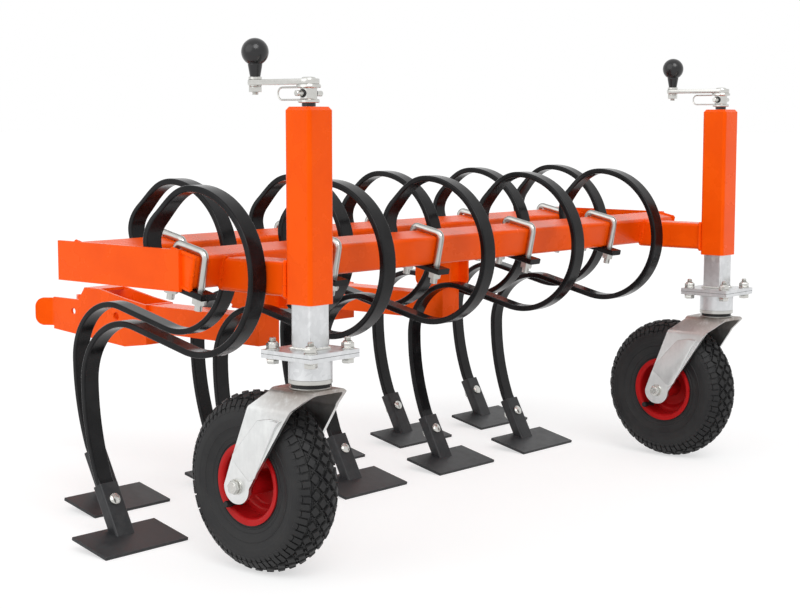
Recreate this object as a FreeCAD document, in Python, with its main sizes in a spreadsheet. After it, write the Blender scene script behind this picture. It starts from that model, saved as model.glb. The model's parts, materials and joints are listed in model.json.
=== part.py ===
import FreeCAD, Part
import math
import os
import Sketcher

# A gravel harrow: ten coil-spring tines with scraper shoes on a frame of two rolled square tubes,
# carried by two cranked caster wheels in front and two pin-on brackets behind.
# Millimetres. X points forward, Y to the machine's left, Z up.
# The origin is on the ground, below the middle of the whole machine.

V = FreeCAD.Vector
SIDES = {"right": -1, "left": 1}

SIZES = {
    # beams: square tubes, rolled so that their top faces slope down to the front
    "beam_size": 50, "beam_wall": 3, "tube_corner": 6, "beam_roll": 12,
    "beam_height": 452, "beam_spacing": 226, "frame_width": 1316,
    # end plates that join the beams
    "end_plate_thick": 6, "end_plate_long": 284, "end_plate_tall": 62,
    "end_plate_height": 450.5, "end_plate_lead": 2,
    # caster arms and posts
    "arm_offset": 568, "arm_height": 443, "post_reach": 181, "post_bottom": 408,
    "post_tall": 280, "post_wall": 4.5, "post_cap": 6, "post_chamfer": 5,
    # screw jacks inside the posts
    "jack_clearance": 0.5, "jack_wall": 4, "jack_overlap": 200, "nut_thick": 14,
    "flange_size": 100, "flange_thick": 6, "flange_corner": 4, "flange_top": 343,
    "flange_bolt": 10, "bolt_play": 0.5, "flange_pitch": 76,
    "housing_across": 64, "housing_tall": 30, "kingpin_across": 25, "kingpin_deep": 24,
    "pin_play": 0.05, "face_play": 0.3, "seal_across": 56,
    # forks: one bent plate each; the legs splay down to a crease above the ears
    "fork_top": 287, "fork_plate": 5.5, "fork_leg_half": 55, "fork_bend": 14,
    "fork_shoulder_run": 22, "fork_shoulder_angle": 60, "fork_knee_drop": 29,
    "fork_splay": 2, "fork_crease": 55, "fork_front": 37, "fork_back": 48,
    "fork_waist_front": 8, "fork_waist_back": 77, "fork_ear": 26,
    "rib_high": 234, "rib_wide": 9, "rib_low": 190, "rib_narrow": 3.5, "rib_rise": 2,
    "rib_high_back": 38, "rib_low_back": 68,
    # wheels: a carcass of even thickness, crown and side arcs joined
    "wheel_trail": 99, "wheel_radius": 136, "axle_across": 12,
    "tyre_wall": 9, "crown_arc": 40, "side_arc": 31, "shoulder_angle": 60,
    "side_angle": 15, "side_run": 32, "bead_tall": 8, "bead_wide": 8,
    "rim_radius": 54, "rim_lip": 62, "rim_half": 34, "rim_wall": 2.5, "rim_bend": 5,
    "dish_run": 7, "dish_angle": 50, "dish_bend": 5, "dish_slope": 6,
    "hub_radius": 18, "hub_half": 37, "bore_play": 0.05, "spacer_radius": 11, "axle_end": 2,
    # cranks
    "crank_reach": 108, "crank_seat": 5.3, "crank_hub": 24, "crank_collar": 31,
    "collar_tall": 5, "collar_edge": 1, "crank_bar": 8, "crank_bar_wide": 22,
    "crank_bar_rise": 26, "spindle_across": 16, "spindle_long": 222, "bush_across": 20,
    "cross_pin": 8, "cross_pin_height": 18.6, "cross_pin_reach": 27, "clip_radius": 17,
    "clip_wire": 3.5, "knob_across": 40, "knob_neck": 21, "knob_waist": 15,
    "knob_foot": 19, "knob_collar": 4, "knob_rise": 40,
    # tines: flat spring bars, wound once round the beam and led back down to a shoe
    "tine_wide": 30, "tine_thick": 10, "tine_edge": 2.5, "tine_nose": 49.5, "tine_run": 68.5,
    "coil_rear": 72, "coil_front": 126.5, "coil_under": 120, "rise_angle": 13,
    "rise_run": 118, "crest_radius": 102, "leg_radius": 420, "leg_bow": 21,
    "tip_bend": 60, "leg_lean": 28, "tip_run": 68, "drift_radius": 66, "drift_angle": 37,
    # clamps
    "clamp_rod": 12, "clamp_bend": 9, "clamp_below": 20, "clamp_play": 0.25,
    "clamp_nut": 19, "clamp_nut_tall": 10,
    # shoes
    "shoe_wide": 166, "shoe_long": 85, "shoe_thick": 5, "shoe_tilt": 12.5, "shoe_setback": 135,
    "socket_wide": 37, "socket_deep": 20, "socket_edge": 4, "socket_play": 0.4,
    "socket_overlap": 62,
    # hitch arms and saddles
    "hitch_offset": 250, "hitch_setback": 28, "hitch_bottom": 278, "hitch_long": 240,
    "saddle_thick": 5, "saddle_front": 18, "saddle_rear": 69, "saddle_bottom": 343,
    # pin brackets, measured back from their front faces and up from the arm's underside
    "bracket_thick": 5, "bracket_inside": 56, "bracket_long": 276, "web_low": 23,
    "web_high": 51, "belly": 31.5, "belly_back": 62, "heel_low": 15, "shoulder_back": 52,
    "shoulder_high": 57.5, "peak_front": 136, "peak_high": 72, "peak_back": 179,
    "neck_back": 198, "neck_high": 47, "pin_height": 23.5, "front_pin": 16,
    "front_pin_back": 86, "rear_pin": 13, "rear_pin_back": 214.6,
    "wing_bend": 12, "wing_angle": 35, "wing_run": 32, "wing_low": 9, "wing_tall": 54,
    "wing_corner": 18, "rear_tie": 44, "front_tie": 60,
    # from the front beam's middle to the origin, which is under the middle of the whole machine
    "datum": 292.9, "datum_side": 5.2,
}
# Clamp positions along each beam, from the middle, counted from the right end.
FRONT_TRACKS = {"front_track_1": -636.5, "front_track_2": -354, "front_track_3": -100,
                "front_track_4": 161, "front_track_5": 424}
REAR_TRACKS = {"rear_track_1": -478, "rear_track_2": -204, "rear_track_3": 33,
               "rear_track_4": 306, "rear_track_5": 573}

doc = FreeCAD.newDocument("gravel_harrow")
sheet = doc.addObject("Spreadsheet::Sheet", "dims")


class Size:
    """A length or angle: its value now, and the same thing as text for an expression."""

    def __init__(self, value, text=None):
        self.value = float(value)
        self.text = text if text is not None else repr(float(value))

    def _join(self, other, sign, value, swap=False):
        other = other if isinstance(other, Size) else Size(other)
        first, second = (other, self) if swap else (self, other)
        return Size(value(first.value, second.value), f"({first.text} {sign} {second.text})")

    def __add__(self, other):
        return self._join(other, "+", lambda a, b: a + b)

    def __radd__(self, other):
        return self._join(other, "+", lambda a, b: a + b, swap=True)

    def __sub__(self, other):
        return self._join(other, "-", lambda a, b: a - b)

    def __rsub__(self, other):
        return self._join(other, "-", lambda a, b: a - b, swap=True)

    def __mul__(self, other):
        return self._join(other, "*", lambda a, b: a * b)

    def __rmul__(self, other):
        return self._join(other, "*", lambda a, b: a * b, swap=True)

    def __truediv__(self, other):
        return self._join(other, "/", lambda a, b: a / b)

    def __neg__(self):
        return Size(-self.value, f"(-1 * {self.text})")


def as_size(number):
    return number if isinstance(number, Size) else Size(number)


def sine(angle):
    return Size(math.sin(math.radians(angle.value)), f"sin({angle.text})")


def cosine(angle):
    return Size(math.cos(math.radians(angle.value)), f"cos({angle.text})")


class Sizes:
    """The spreadsheet: each name is an aliased cell that holds a plain number."""

    def __init__(self, values):
        for row, (name, value) in enumerate(values.items(), 1):
            sheet.set(f"A{row}", name)
            sheet.set(f"B{row}", str(value))
            sheet.setAlias(f"B{row}", name)
            setattr(self, name, Size(value, f"dims.{name}"))
        doc.recompute()


d = Sizes({**SIZES, **FRONT_TRACKS, **REAR_TRACKS})


def bind(thing, name, size):
    """Ties a property or a named constraint to its expression."""
    thing.setExpression(name, as_size(size).text)


def body(label):
    made = doc.addObject("PartDesign::Body", label)
    made.Label = label
    return made


def base(owner, role):
    """One of a body's own base planes or axes."""
    return next(feature for feature in owner.Origin.OriginFeatures if feature.Role == role)


def sketch(owner, name, role, offset=None):
    """A sketch on one of its own body's base planes, moved along the plane's normal."""
    made = owner.newObject("Sketcher::SketchObject", f"{owner.Name}_{name}")
    made.AttachmentSupport = (base(owner, role), [""])
    made.MapMode = "FlatFace"
    if offset is not None:
        bind(made, ".AttachmentOffset.Base.z", offset)
    return made


def fix_point(drawn, geometry, point, place):
    """Holds a point of a sketch at two coordinates."""
    for axis, size in zip("XY", place):
        value = as_size(size).value
        held = Sketcher.Constraint(f"Distance{axis}", -1, 1, geometry, point, value)
        number = drawn.addConstraint(held)
        bind(drawn, f"Constraints[{number}]", size)


def point_at(place):
    return V(as_size(place[0]).value, as_size(place[1]).value, 0)


def polygon(drawn, points):
    """A closed outline through points whose coordinates are sizes."""
    corners = [point_at(place) for place in points]
    lines = [drawn.addGeometry(Part.LineSegment(a, b), False)
             for a, b in zip(corners, corners[1:] + corners[:1])]
    for line, following in zip(lines, lines[1:] + lines[:1]):
        drawn.addConstraint(Sketcher.Constraint("Coincident", line, 2, following, 1))
    for line, place in zip(lines, points):
        fix_point(drawn, line, 1, place)
    return lines


def rectangle(drawn, half_wide, half_tall, centre=(0, 0)):
    x, y = centre
    return polygon(drawn, [(x - half_wide, y - half_tall), (x + half_wide, y - half_tall),
                           (x + half_wide, y + half_tall), (x - half_wide, y + half_tall)])


def circle(drawn, centre, radius):
    ring = Part.Circle(point_at(centre), V(0, 0, 1), radius.value)
    ring = drawn.addGeometry(ring, False)
    fix_point(drawn, ring, 3, centre)
    number = drawn.addConstraint(Sketcher.Constraint("Radius", ring, radius.value))
    bind(drawn, f"Constraints[{number}]", radius)
    return ring


def pad(owner, drawn, length, both_ways=False, back=False):
    made = owner.newObject("PartDesign::Pad", f"{drawn.Name}_pad")
    made.Profile = drawn
    bind(made, "Length", length)
    made.Midplane = both_ways
    made.Reversed = back
    drawn.Visibility = False
    return made


def pocket(owner, drawn, length=None, both_ways=False, back=False):
    """Cuts a sketch out of its body; with no length it cuts right through."""
    doc.recompute()
    before = owner.Shape.Volume
    made = owner.newObject("PartDesign::Pocket", f"{drawn.Name}_cut")
    made.Profile = drawn
    made.Midplane = both_ways
    made.Reversed = back
    if length is None:
        made.Type = "ThroughAll"
    else:
        bind(made, "Length", length)
    doc.recompute()
    if not owner.Shape.Volume < before:
        raise RuntimeError(f"{made.Name} cuts nothing")
    return made


def round_edges(owner, radius, chosen, name="rounding"):
    """Fillets the edges of the body's last feature that a test picks."""
    doc.recompute()
    tip = owner.Tip
    edges = [f"Edge{i}" for i, edge in enumerate(tip.Shape.Edges, 1) if chosen(edge)]
    made = owner.newObject("PartDesign::Fillet", f"{owner.Name}_{name}")
    made.Base = (tip, edges)
    bind(made, "Radius", radius)
    doc.recompute()
    return made


def runs_along(edge, axis):
    """True for a straight edge along an axis."""
    if edge.Curve.TypeId != "Part::GeomLine":
        return False
    return abs(edge.tangentAt(edge.FirstParameter).dot(axis)) > 0.999


def place(thing, x=0, y=0, z=0, roll=None):
    """Puts a thing at sizes from the front beam's middle on the ground, rolled about Y."""
    if roll is not None:
        thing.Placement = FreeCAD.Placement(V(), FreeCAD.Rotation(V(0, 1, 0), roll.value))
        bind(thing, ".Placement.Rotation.Angle", roll)
    for axis, size in zip("xyz", (x + d.datum, y + d.datum_side, z)):
        bind(thing, f".Placement.Base.{axis}", size)


def square_tube(label, size, wall, corner, length, role, closed=False):
    """A square tube with rounded corners, along the normal of a base plane.

    A closed one is centred on the plane and has a wall at each end.
    """
    made = body(label)
    outline = sketch(made, "outline", role)
    rectangle(outline, size / 2, size / 2)
    pad(made, outline, length, closed)
    axis = {"XY_Plane": V(0, 0, 1), "XZ_Plane": V(0, 1, 0), "YZ_Plane": V(1, 0, 0)}[role]
    round_edges(made, corner, lambda edge: runs_along(edge, axis))
    bore = sketch(made, "bore", role)
    rectangle(bore, size / 2 - wall, size / 2 - wall)
    if closed:
        pocket(made, bore, length - 2 * wall, both_ways=True)
    else:
        pocket(made, bore, back=True)
    return made


def fused(label, parts):
    """One named piece out of several drawn ones."""
    made = doc.addObject("Part::MultiFuse", label)
    made.Shapes = parts
    made.Label = label
    return made


def spin(owner, drawn):
    """Turns a sketch in the local XZ plane once round the local Z axis."""
    made = owner.newObject("PartDesign::Revolution", f"{drawn.Name}_turned")
    made.Profile = drawn
    made.ReferenceAxis = (drawn, ["V_Axis"])
    made.Angle = 360
    drawn.Visibility = False
    return made


def turned(owner, name, profile):
    """Adds a body of revolution about the local Z axis from (radius, height) points."""
    drawn = sketch(owner, name, "XZ_Plane")
    polygon(drawn, profile)
    return spin(owner, drawn)


def lay_across(owner, x, y, z):
    """Turns a body so that its own Z axis lies along the machine's Y axis."""
    owner.Placement = FreeCAD.Placement(V(), FreeCAD.Rotation(V(1, 0, 0), 90))
    place(owner, x, y, z)


class Path:
    """A run of tangent straights and arcs in a plane, kept as sizes."""

    def __init__(self, x, z, heading):
        self.joints = [(as_size(x), as_size(z), as_size(heading))]
        self.bends = []

    def straight(self, length):
        x, z, heading = self.joints[-1]
        self.bends.append(None)
        self.joints.append((x + length * cosine(heading), z + length * sine(heading), heading))
        return self

    def arc(self, radius, end_heading, left):
        """An arc on to a new heading; left is +1 for an anticlockwise turn, -1 for clockwise."""
        x, z, heading = self.joints[-1]
        end_heading = as_size(end_heading)
        reach = radius * left
        centre = x - reach * sine(heading), z + reach * cosine(heading)
        self.bends.append((radius, left, centre))
        self.joints.append((centre[0] + reach * sine(end_heading),
                            centre[1] - reach * cosine(end_heading), end_heading))
        return self

    def beside(self, index, offset):
        """The point beside a joint, to the left for a positive offset."""
        x, z, heading = self.joints[index]
        return x - offset * sine(heading), z + offset * cosine(heading)

    def strip(self, drawn, half):
        """Draws the closed outline of a strip that follows the path: there, across and back."""
        count = len(self.bends)
        edges = []
        for way in (1, -1):
            for step in range(count)[::way]:
                start, end = (step, step + 1)[::way]
                edges.append(self._edge(drawn, start, end, half * way, self.bends[step], way))
            last = edges[-1][3]
            corners = self.beside(last, half * way), self.beside(last, half * -way)
            line = drawn.addGeometry(Part.LineSegment(*map(point_at, corners)), False)
            fix_point(drawn, line, 1, corners[0])
            edges.append((line, 2, 1, last))
        for (first, tail, _, _), (second, _, head, _) in zip(edges, edges[1:] + edges[:1]):
            drawn.addConstraint(Sketcher.Constraint("Coincident", first, tail, second, head))

    def _edge(self, drawn, start, end, offset, bend, way):
        """One side of one step; tells which of its ends come last and first."""
        ends = self.beside(start, offset), self.beside(end, offset)
        if bend is None:
            line = drawn.addGeometry(Part.LineSegment(*map(point_at, ends)), False)
            fix_point(drawn, line, 1, ends[0])
            return line, 2, 1, end
        radius, left, centre = bend
        rim = radius - offset * left
        anticlockwise = left * way > 0
        middle = point_at(centre)
        spokes = [point_at(place) - middle for place in ends[::left * way]]
        angles = [math.atan2(spoke.y, spoke.x) for spoke in spokes]
        if angles[1] < angles[0]:
            angles[1] += 2 * math.pi
        ring = Part.Circle(middle, V(0, 0, 1), rim.value)
        curve = drawn.addGeometry(Part.ArcOfCircle(ring, *angles), False)
        head, tail = (1, 2) if anticlockwise else (2, 1)
        fix_point(drawn, curve, head, ends[0])
        number = drawn.addConstraint(Sketcher.Constraint("Radius", curve, rim.value))
        bind(drawn, f"Constraints[{number}]", rim)
        return curve, tail, head, end


# frame: beams, end plates, arms and posts

beam_long = d.frame_width - 2 * d.end_plate_thick
beam_half = d.beam_size / 2
for name, x in (("front_beam", 0), ("rear_beam", -d.beam_spacing)):
    beam = square_tube(name, d.beam_size, d.beam_wall, d.tube_corner, beam_long, "XZ_Plane", closed=True)
    place(beam, x=x, z=d.beam_height, roll=d.beam_roll)

for side, sign in SIDES.items():
    plate = body(f"{side}_end_plate")
    outline = sketch(plate, "outline", "XZ_Plane")
    rectangle(outline, d.end_plate_long / 2, d.end_plate_tall / 2)
    pad(plate, outline, d.end_plate_thick, True)
    place(plate, x=d.end_plate_lead - d.end_plate_long / 2,
          y=sign * (d.frame_width - d.end_plate_thick) / 2, z=d.end_plate_height)


def on_beam_face(z):
    """Where the front beam's sloping front face stands at a height."""
    return (beam_half + (z - d.beam_height) * sine(d.beam_roll)) / cosine(d.beam_roll)


post_back = d.post_reach - beam_half
for side, sign in SIDES.items():
    arm = square_tube(f"{side}_caster_arm", d.beam_size, d.beam_wall, d.tube_corner, post_back,
                      "YZ_Plane")
    low, high = d.arm_height - d.beam_size, d.arm_height + d.beam_size
    slope = sketch(arm, "slope", "XZ_Plane")
    polygon(slope, [(-d.beam_size, -d.beam_size), (on_beam_face(low), -d.beam_size),
                    (on_beam_face(high), d.beam_size), (-d.beam_size, d.beam_size)])
    pocket(arm, slope, both_ways=True)
    place(arm, y=sign * d.arm_offset, z=d.arm_height)

    post = body(f"{side}_post")
    outline = sketch(post, "outline", "XY_Plane")
    rectangle(outline, beam_half, beam_half)
    pad(post, outline, d.post_tall)
    round_edges(post, d.tube_corner, lambda edge: runs_along(edge, V(0, 0, 1)))
    bore = sketch(post, "bore", "XY_Plane")
    rectangle(bore, beam_half - d.post_wall, beam_half - d.post_wall)
    pocket(post, bore, d.post_tall - d.post_cap, back=True)
    hole = sketch(post, "spindle_hole", "XY_Plane")
    circle(hole, (0, 0), d.spindle_across / 2 + d.pin_play)
    pocket(post, hole, back=True)
    top = d.post_tall.value
    bevel = post.newObject("PartDesign::Chamfer", f"{side}_post_bevel")
    post.Tip = bevel
    previous = [f for f in post.Group if f.Name.endswith("spindle_hole_cut")][-1]
    edges = [f"Edge{i}" for i, e in enumerate(previous.Shape.Edges, 1)
             if min(v.Z for v in e.Vertexes) > top - 0.01 and not e.isClosed()]
    bevel.Base = (previous, edges)
    bind(bevel, "Size", d.post_chamfer)
    doc.recompute()
    place(post, x=d.post_reach, y=sign * d.arm_offset, z=d.post_bottom)


# casters: screw jacks, flanges, forks and wheels

bore_half = beam_half - d.post_wall
jack_half = bore_half - d.jack_clearance
jack_long = d.post_bottom + d.jack_overlap - d.flange_top
axle_height = d.wheel_radius
wheel_x = d.post_reach - d.wheel_trail


def primitive(kind, label, **sizes):
    made = doc.addObject(kind, label)
    for name, size in sizes.items():
        bind(made, name, size)
    return made


post_top = d.post_bottom + d.post_tall
seal_top = d.flange_top - 2 * d.flange_thick - d.housing_tall - d.face_play
fork_foot = axle_height - d.fork_ear
knee = d.fork_top - d.fork_knee_drop
rib_face = d.fork_leg_half - (d.rib_low - fork_foot - d.fork_crease) * sine(d.fork_splay)


def fork_front_view():
    """The middle line of the bent plate, from the foot of the right leg over to the left."""
    half = d.fork_plate / 2
    bend = d.fork_bend
    lean = 90 - d.fork_splay
    shoulder = d.fork_shoulder_angle
    path = Path(half - d.fork_leg_half, fork_foot, 90)
    path.straight(d.fork_crease)
    path.arc(bend, lean, -1)
    x, z, _ = path.joints[-1]
    # what is left for the leg, once both bends and the shoulder have taken their heights
    bends_high = bend * (cosine(shoulder) - cosine(lean)) + bend * (1 - cosine(shoulder))
    rise = d.fork_top - half - z - bends_high - d.fork_shoulder_run * sine(shoulder)
    path.straight(rise / sine(lean))
    path.arc(bend, shoulder, -1)
    path.straight(d.fork_shoulder_run)
    path.arc(bend, 0, -1)
    path.straight(-2 * path.joints[-1][0])
    path.arc(bend, -shoulder, -1)
    path.straight(d.fork_shoulder_run)
    path.arc(bend, -lean, -1)
    path.straight(rise / sine(lean))
    path.arc(bend, -90, -1)
    path.straight(d.fork_crease)
    return path


def drop_outline(drawn):
    """A drop in the leg's side view: a large round end above, a small one below."""
    top, low = (-d.rib_high_back, d.rib_high), (-d.rib_low_back, d.rib_low)
    polygon(drawn, [(top[0] - d.rib_wide, top[1]), (low[0] - d.rib_narrow, low[1]),
                    (low[0] + d.rib_narrow, low[1]), (top[0] + d.rib_wide, top[1])])


def tyre_section():
    """The middle line of the tyre's wall, from its right bead round the crown to the left one."""
    shoulder = d.shoulder_angle
    deep = d.crown_arc * (1 - sine(shoulder)) + d.side_arc * (sine(shoulder) + sine(d.side_angle))
    half_wide = d.crown_arc * cosine(shoulder) + d.side_arc * (cosine(d.side_angle) - cosine(shoulder))
    crown = d.wheel_radius - d.tyre_wall / 2
    path = Path(crown - deep - d.side_run * cosine(d.side_angle),
                -half_wide + d.side_run * sine(d.side_angle), -d.side_angle)
    path.straight(d.side_run)
    path.arc(d.side_arc, shoulder, 1)
    path.arc(d.crown_arc, 180 - shoulder, 1)
    path.arc(d.side_arc, 180 + d.side_angle, 1)
    path.straight(d.side_run)
    return path


def corner_holes(owner, drawn):
    """Four bolt holes on a square pitch."""
    half = d.flange_pitch / 2
    for i in (-1, 1):
        for j in (-1, 1):
            circle(drawn, (i * half, j * half), d.flange_bolt / 2 + d.bolt_play)


def flange_plate(owner, name, bottom):
    drawn = sketch(owner, name, "XY_Plane", bottom)
    rectangle(drawn, d.flange_size / 2, d.flange_size / 2)
    pad(owner, drawn, d.flange_thick)
    holes = sketch(owner, f"{name}_holes", "XY_Plane", bottom)
    corner_holes(owner, holes)
    pocket(owner, holes, d.flange_thick, back=True)


for side, sign in SIDES.items():
    y = sign * d.arm_offset
    jack = square_tube(f"{side}_jack_tube", 2 * jack_half, d.jack_wall, d.flange_corner, jack_long,
                       "XY_Plane")
    nut = sketch(jack, "nut", "XY_Plane", jack_long - d.nut_thick)
    rectangle(nut, jack_half - d.jack_wall / 2, jack_half - d.jack_wall / 2)
    pad(jack, nut, d.nut_thick)
    thread = sketch(jack, "thread", "XY_Plane", jack_long - d.nut_thick)
    circle(thread, (0, 0), d.spindle_across / 2 + d.pin_play)
    pocket(jack, thread, d.nut_thick, back=True)
    place(jack, x=d.post_reach, y=y, z=d.flange_top)

    flange = body(f"{side}_upper_flange")
    flange_plate(flange, "plate", -d.flange_thick)
    place(flange, x=d.post_reach, y=y, z=d.flange_top)

    housing = body(f"{side}_swivel_housing")
    flange_plate(housing, "plate", -2 * d.flange_thick)
    barrel = sketch(housing, "barrel", "XY_Plane", -2 * d.flange_thick - d.housing_tall)
    circle(barrel, (0, 0), d.housing_across / 2)
    pad(housing, barrel, d.housing_tall)
    socket = sketch(housing, "bore", "XY_Plane", -2 * d.flange_thick - d.housing_tall)
    circle(socket, (0, 0), d.kingpin_across / 2 + d.pin_play)
    pocket(housing, socket, d.kingpin_deep + d.flange_thick, back=True)
    place(housing, x=d.post_reach, y=y, z=d.flange_top)

    # the fork is one bent plate: its front view is a strip, its side view is cut out of that
    fork = body(f"{side}_fork")
    thick = d.fork_plate
    front = sketch(fork, "front_view", "YZ_Plane")
    fork_front_view().strip(front, thick / 2)
    pad(fork, front, 4 * d.wheel_trail, True)
    profile = sketch(fork, "side_view", "XZ_Plane")
    around = 3 * d.wheel_trail
    polygon(profile, [(-around, 0), (around, 0), (around, 2 * d.fork_top), (-around, 2 * d.fork_top)])
    ear_front, ear_back = d.fork_ear - d.wheel_trail, -d.fork_ear - d.wheel_trail
    below = fork_foot - d.fork_ear / 2
    polygon(profile, [(d.fork_front, d.fork_top + thick), (d.fork_front, d.fork_top - thick),
                      (d.fork_waist_front, knee), (ear_front, axle_height), (ear_front, below),
                      (ear_back, below), (ear_back, axle_height), (-d.fork_waist_back, knee),
                      (-d.fork_back, d.fork_top - thick), (-d.fork_back, d.fork_top + thick)])
    pocket(fork, profile, both_ways=True)
    round_edges(fork, d.fork_ear - 1,
                lambda edge: runs_along(edge, V(0, 1, 0))
                and edge.CenterOfMass.z < fork_foot.value + 1, "ears")
    for word, way in (("right", -1), ("left", 1)):
        rib = sketch(fork, f"{word}_rib", "XZ_Plane", -way * (rib_face - d.rib_rise))
        drop_outline(rib)
        pad(fork, rib, 2 * d.rib_rise, back=way > 0)
    pin = sketch(fork, "kingpin", "XY_Plane", d.fork_top - thick)
    circle(pin, (0, 0), d.kingpin_across / 2)
    pad(fork, pin, seal_top - d.fork_top + thick + d.kingpin_deep)
    eye = sketch(fork, "axle_eye", "XZ_Plane")
    circle(eye, (-d.wheel_trail, axle_height), d.axle_across / 2 + d.bore_play)
    pocket(fork, eye, both_ways=True)
    place(fork, x=d.post_reach, y=y)

    seal = body(f"{side}_swivel_seal")
    ring = sketch(seal, "ring", "XY_Plane")
    circle(ring, (0, 0), d.seal_across / 2)
    circle(ring, (0, 0), d.kingpin_across / 2)
    pad(seal, ring, seal_top - d.fork_top)
    place(seal, x=d.post_reach, y=y, z=d.fork_top)

    axle = body(f"{side}_axle")
    stub, shoulder = d.fork_leg_half + d.axle_end, d.fork_leg_half - thick
    inside = d.hub_half + d.face_play
    rod = d.axle_across / 2
    turned(axle, "rod", [(0, -stub), (rod, -stub), (rod, -shoulder), (d.spacer_radius, -shoulder),
                         (d.spacer_radius, -inside), (rod, -inside), (rod, inside),
                         (d.spacer_radius, inside), (d.spacer_radius, shoulder), (rod, shoulder),
                         (rod, stub), (0, stub)])
    lay_across(axle, wheel_x, y, axle_height)

    # a pressed rim: a channel with flared lips, a stepped dish and a hub tube
    rim = body(f"{side}_rim")
    half_sheet = d.rim_wall / 2
    channel = sketch(rim, "channel", "XZ_Plane")
    edge = d.rim_half - half_sheet
    lip_bend = d.rim_bend
    path = Path(d.rim_lip, -edge, 180)
    path.straight(d.rim_lip - d.rim_radius + half_sheet - lip_bend)
    path.arc(lip_bend, 90, -1)
    path.straight(2 * (edge - lip_bend))
    path.arc(lip_bend, 0, -1)
    path.straight(d.rim_lip - d.rim_radius + half_sheet - lip_bend)
    path.strip(channel, half_sheet)
    spin(rim, channel)
    dish = sketch(rim, "dish", "XZ_Plane")
    path = Path(d.rim_radius - half_sheet, 0, 180)
    path.straight(d.dish_run)
    path.arc(d.dish_bend, 180 + d.dish_angle, 1)
    path.straight(d.dish_slope)
    path.arc(d.dish_bend, 180, -1)
    path.straight(path.joints[-1][0] - d.hub_radius + half_sheet)
    path.strip(dish, half_sheet)
    spin(rim, dish)
    bore = rod + d.bore_play
    turned(rim, "hub", [(bore, -d.hub_half), (d.hub_radius, -d.hub_half),
                        (d.hub_radius, d.hub_half), (bore, d.hub_half)])
    lay_across(rim, wheel_x, y, axle_height)

    tyre = body(f"{side}_tyre")
    carcass = sketch(tyre, "carcass", "XZ_Plane")
    tyre_section().strip(carcass, d.tyre_wall / 2)
    spin(tyre, carcass)
    for word, way in (("right", 1), ("left", -1)):
        out = way * (d.rim_half - d.rim_wall - d.rim_bend)
        turned(tyre, f"{word}_bead", [
            (d.rim_radius, out), (d.rim_radius, out - way * d.bead_wide),
            (d.rim_radius + d.bead_tall, out - way * d.bead_wide), (d.rim_radius + d.bead_tall, out)])
    lay_across(tyre, wheel_x, y, axle_height)

    # the crank: a hub sleeve with two collars, a flat lever, and a cross pin held by a wire clip
    turning = body(f"{side}_crank_body")
    spindle, bush, hub = d.spindle_across / 2, d.bush_across / 2, d.crank_hub / 2
    ring, lip = d.crank_collar / 2, d.collar_edge
    bar_low = d.crank_seat + d.crank_bar_rise
    lower, upper = d.crank_seat + d.collar_tall, bar_low - d.collar_tall
    turned(turning, "spindle", [
        (0, -d.spindle_long), (spindle, -d.spindle_long), (spindle, d.face_play),
        (bush, d.face_play), (bush, d.crank_seat), (ring - lip, d.crank_seat),
        (ring, d.crank_seat + lip), (ring, lower - lip), (hub + lip, lower), (hub, lower + lip),
        (hub, upper - lip), (hub + lip, upper), (ring - lip, upper), (ring - lip, bar_low),
        (0, bar_low)])
    bar = d.crank_bar_wide / 2
    lever = sketch(turning, "lever", "XY_Plane", bar_low - lip)
    polygon(lever, [(-d.crank_reach, -bar), (0, -bar), (0, bar), (-d.crank_reach, bar)])
    pad(turning, lever, d.crank_bar + lip)
    for name, at, radius in (("eye", 0, ring), ("tip", -d.crank_reach, bar)):
        end = sketch(turning, name, "XY_Plane", bar_low - lip)
        circle(end, (at, 0), radius)
        pad(turning, end, d.crank_bar + lip)
    pin = sketch(turning, "cross_pin", "YZ_Plane")
    circle(pin, (0, d.cross_pin_height), d.cross_pin / 2)
    pad(turning, pin, 2 * d.cross_pin_reach, True)
    place(turning, x=d.post_reach, y=y, z=post_top)
    clip = primitive("Part::Torus", f"{side}_clip", Radius1=d.clip_radius, Radius2=d.clip_wire / 2)
    place(clip, d.post_reach + d.cross_pin_reach + d.clip_radius, y, post_top + d.cross_pin_height)
    fused(f"{side}_crank", [turning, clip])

    # the knob: a ball on a waisted neck
    ball, neck, waist = d.knob_across / 2, d.knob_neck / 2, d.knob_waist / 2
    grip = body(f"{side}_knob_neck")
    turned(grip, "neck", [(0, 0), (d.knob_foot / 2, 0), (d.knob_foot / 2, d.knob_collar),
                          (waist, d.knob_collar), (neck, d.knob_rise - ball + lip),
                          (neck, d.knob_rise), (0, d.knob_rise)])
    place(grip, x=d.post_reach - d.crank_reach, y=y, z=post_top + bar_low + d.crank_bar)
    top = primitive("Part::Sphere", f"{side}_knob_ball", Radius=ball)
    place(top, d.post_reach - d.crank_reach, y, post_top + bar_low + d.crank_bar + d.knob_rise)
    fused(f"{side}_knob", [grip, top])


# tines: each is a strip wound once round its beam, then led back and down to a shoe

half_tine = d.tine_thick / 2
lay = beam_half + half_tine


def coil_path():
    """The middle line of a tine's first turn, under its beam and up to the top of the coil."""
    path = Path(d.tine_nose * cosine(d.beam_roll) - lay * sine(d.beam_roll),
                d.beam_height - d.tine_nose * sine(d.beam_roll) - lay * cosine(d.beam_roll),
                180 - d.beam_roll)
    return path.straight(d.tine_run).arc(d.coil_rear, 0, -1)


def leg_path():
    """The rest of the middle line: down in front, back under the beam, and down to the tip."""
    path = Path(*coil_path().joints[-1])
    path.arc(d.coil_front, -90, -1)
    path.arc(d.coil_under, -180 - d.rise_angle, -1)
    path.straight(d.rise_run)
    path.arc(d.crest_radius, -90, 1)
    path.arc(d.leg_radius, -90 + d.leg_bow, 1)
    path.arc(d.tip_bend, -90 + d.leg_lean, 1)
    path.straight(d.tip_run)
    return path


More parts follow.
